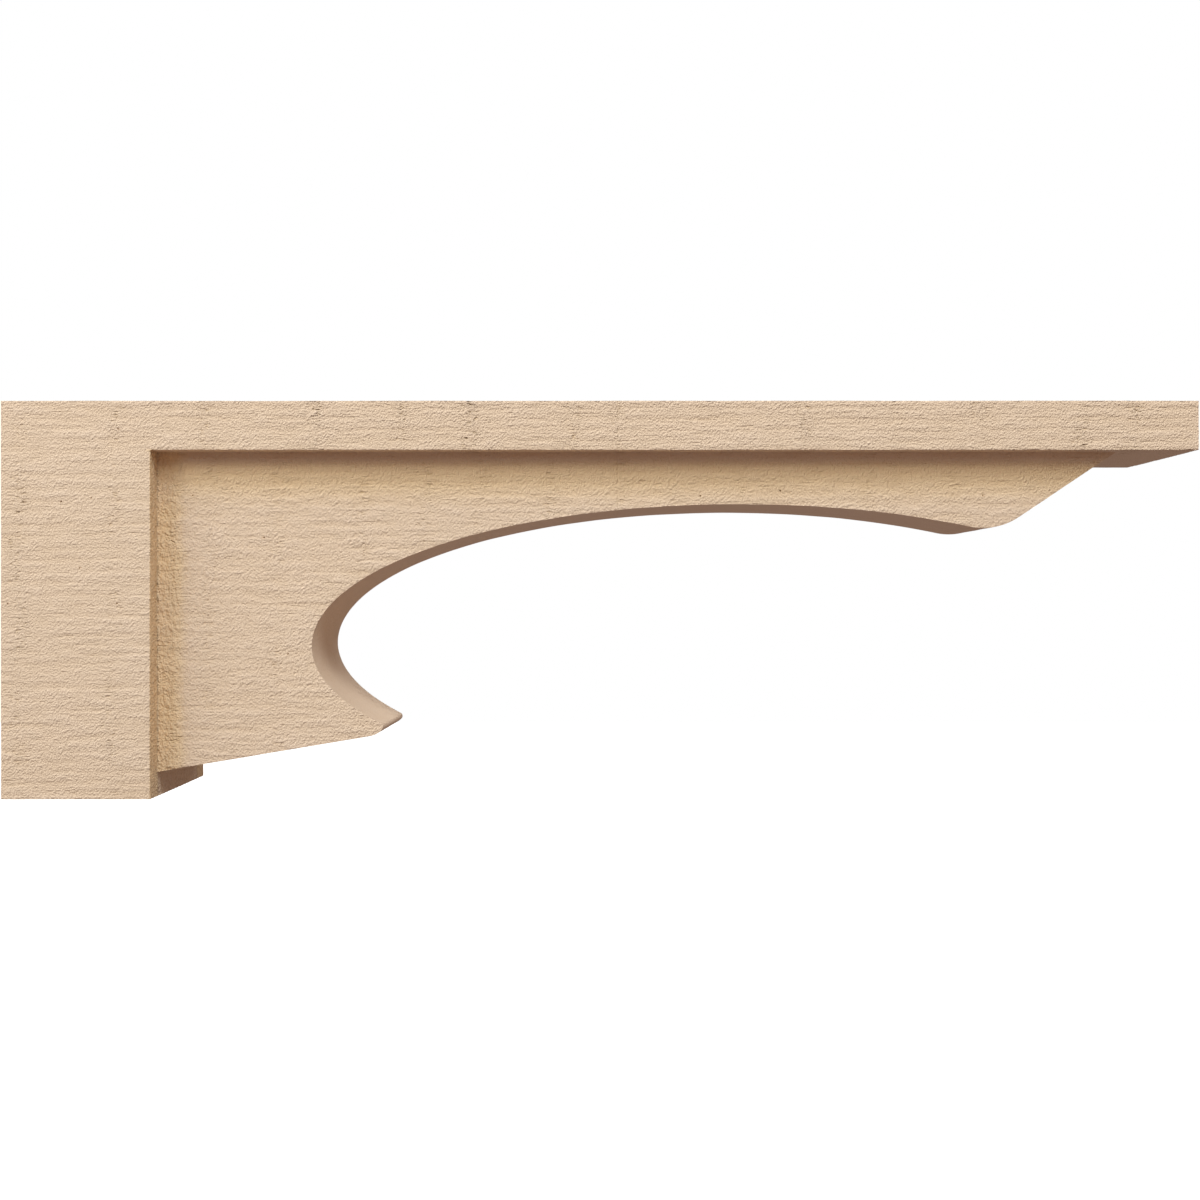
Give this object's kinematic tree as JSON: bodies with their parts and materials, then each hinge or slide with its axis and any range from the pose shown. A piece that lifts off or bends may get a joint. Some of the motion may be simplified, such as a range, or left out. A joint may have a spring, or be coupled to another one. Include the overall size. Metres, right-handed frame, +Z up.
{
  "type": "corbel",
  "caption": "Long timber-look corbel: a block against the wall, a board across its top, and a thinner web between them with a long elliptical hollow, a pointed foot and a rounded nose.",
  "frame": {"origin": "middle of the rear face, the one that goes against the wall", "axes": "+X straight out from the wall along the board, +Y across the corbel's width, +Z up"},
  "size_m": [0.9144, 0.1524, 0.3048],
  "materials": {
    "moulding": "matte tan primer over a moulded rough-sawn timber grain that runs along the corbel"
  },
  "bodies": {
    "root": {"corbel": "moulding"}
  },
  "joints": []
}
